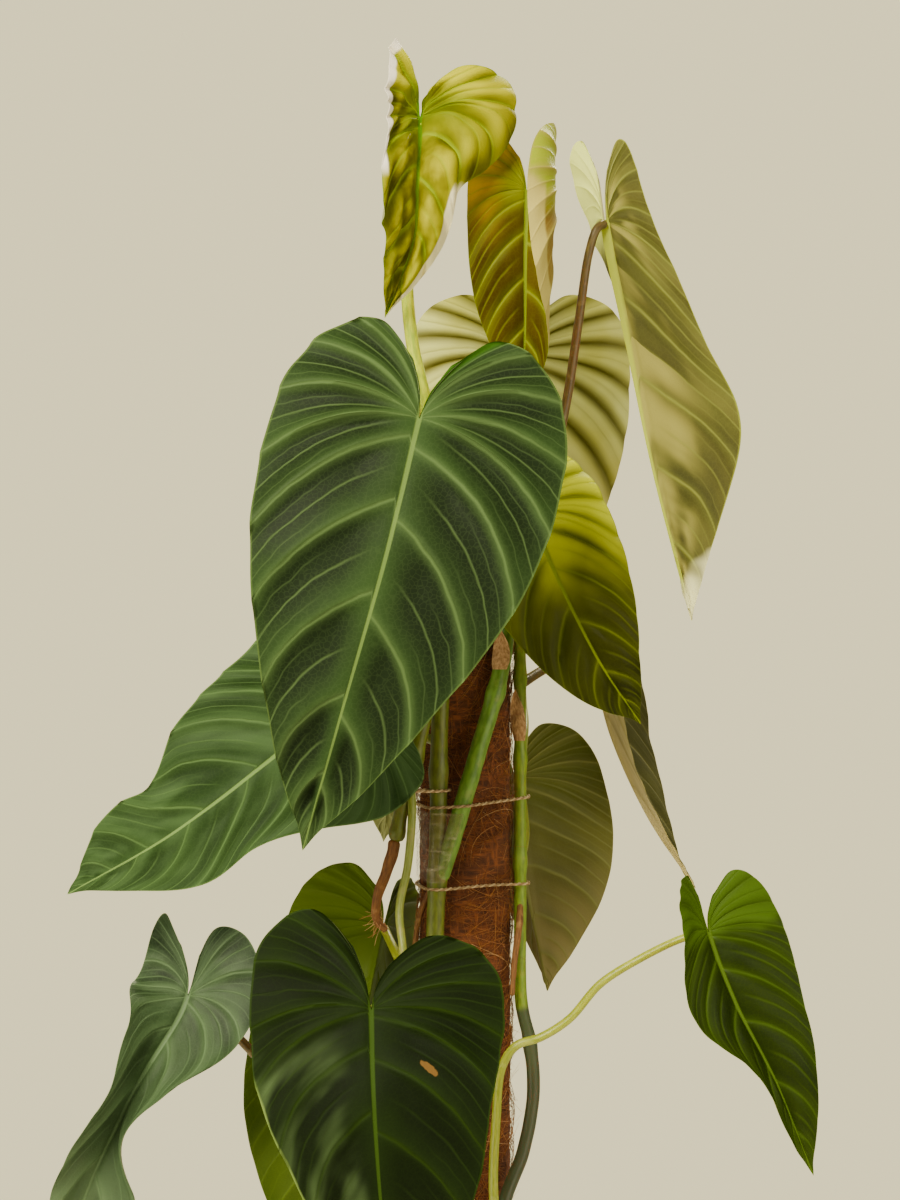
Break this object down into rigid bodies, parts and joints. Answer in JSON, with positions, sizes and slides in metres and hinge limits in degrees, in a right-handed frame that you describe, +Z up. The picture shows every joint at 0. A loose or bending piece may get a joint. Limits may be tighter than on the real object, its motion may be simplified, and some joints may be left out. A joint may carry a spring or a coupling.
{
  "type": "potted philodendron",
  "caption": "Climbing philodendron with long heart-shaped leaves, tied to a coir pole that stands in a plain round clay pot of soil.",
  "frame": {"origin": "centre of the pot's flat underside, under the pole", "axes": "+Z up along the pole, the large front leaf looks to -Y, +X to its right as the viewer sees it"},
  "size_m": [0.3743, 0.2316, 0.8593],
  "materials": {
    "clay": "unglazed fired clay, matt, faintly mottled",
    "soil": null,
    "stake_wood": "round softwood stake, sawn ends",
    "coir": null,
    "stem_green": "living stem with nodes, satin",
    "leaf_velvet_green": "velvety dark green leaf with pale veins",
    "leaf_lime": "young lime-yellow leaf, thin and crinkled, pale margin",
    "leaf_bronze": "young bronze leaf with yellow veins",
    "leaf_pale_olive": "dull olive underside with pale patches",
    "leaf_cream": "pale ribbed leaf with darker grooves",
    "leaf_olive": "dark olive leaf with yellow-green veins",
    "leaf_mid_green": "mid-green leaf with pale veins",
    "leaf_dull_olive": "olive underside, matt",
    "leaf_fresh_green": "fresh green leaf",
    "leaf_dark_green": "dark green leaf with a grey sheen",
    "leaf_grey_green": "grey-green velvety leaf",
    "stalk_green": "smooth green stalk",
    "stalk_lime": "bright yellow-green stalk",
    "stalk_brown": "brown-green stalk",
    "root_brown": "corky orange-brown aerial root",
    "twine": "two-ply jute twine",
    "clear_film": "thin clear plastic film; glass stands in for its look",
    "dry_sheath": "papery dried sheath"
  },
  "bodies": {
    "root": {"pot": "clay", "soil": "soil", "pole_core": "stake_wood", "coir_sleeve": "coir", "stem_left": "stem_green", "stem_right": "stem_green", "stem_middle": "stem_green", "side_shoot": "stem_green", "leaf_front": "leaf_velvet_green", "leaf_lime": "leaf_lime", "leaf_bronze": "leaf_bronze", "leaf_pale_hanging": "leaf_pale_olive", "leaf_back": "leaf_cream", "leaf_olive": "leaf_olive", "leaf_left": "leaf_mid_green", "leaf_pole_right": "leaf_dull_olive", "leaf_narrow": "leaf_dull_olive", "leaf_low_right": "leaf_fresh_green", "leaf_low_front": "leaf_dark_green", "leaf_low_back": "leaf_fresh_green", "leaf_low_left": "leaf_grey_green", "leaf_small_back": "leaf_dull_olive", "stalk_front": "stalk_green", "stalk_lime": "stalk_lime", "stalk_bronze": "stalk_green", "stalk_pale_hanging": "stalk_brown", "stalk_back": "stalk_green", "stalk_olive": "stalk_green", "stalk_left": "stalk_green", "stalk_pole_right": "stalk_green", "stalk_narrow": "stalk_brown", "stalk_low_right": "stalk_green", "stalk_low_front": "stalk_brown", "stalk_low_back": "stalk_green", "stalk_low_left": "stalk_brown", "stalk_small_back": "stalk_green", "root_shoot": "root_brown", "root_left": "root_brown", "root_right": "root_brown", "root_soil": "root_brown", "tie_upper": "twine", "tie_lower": "twine", "tie_shoot": "twine", "film_wrap": "clear_film", "sheath_stem": "dry_sheath", "sheath_top": "dry_sheath"}
  },
  "joints": []
}
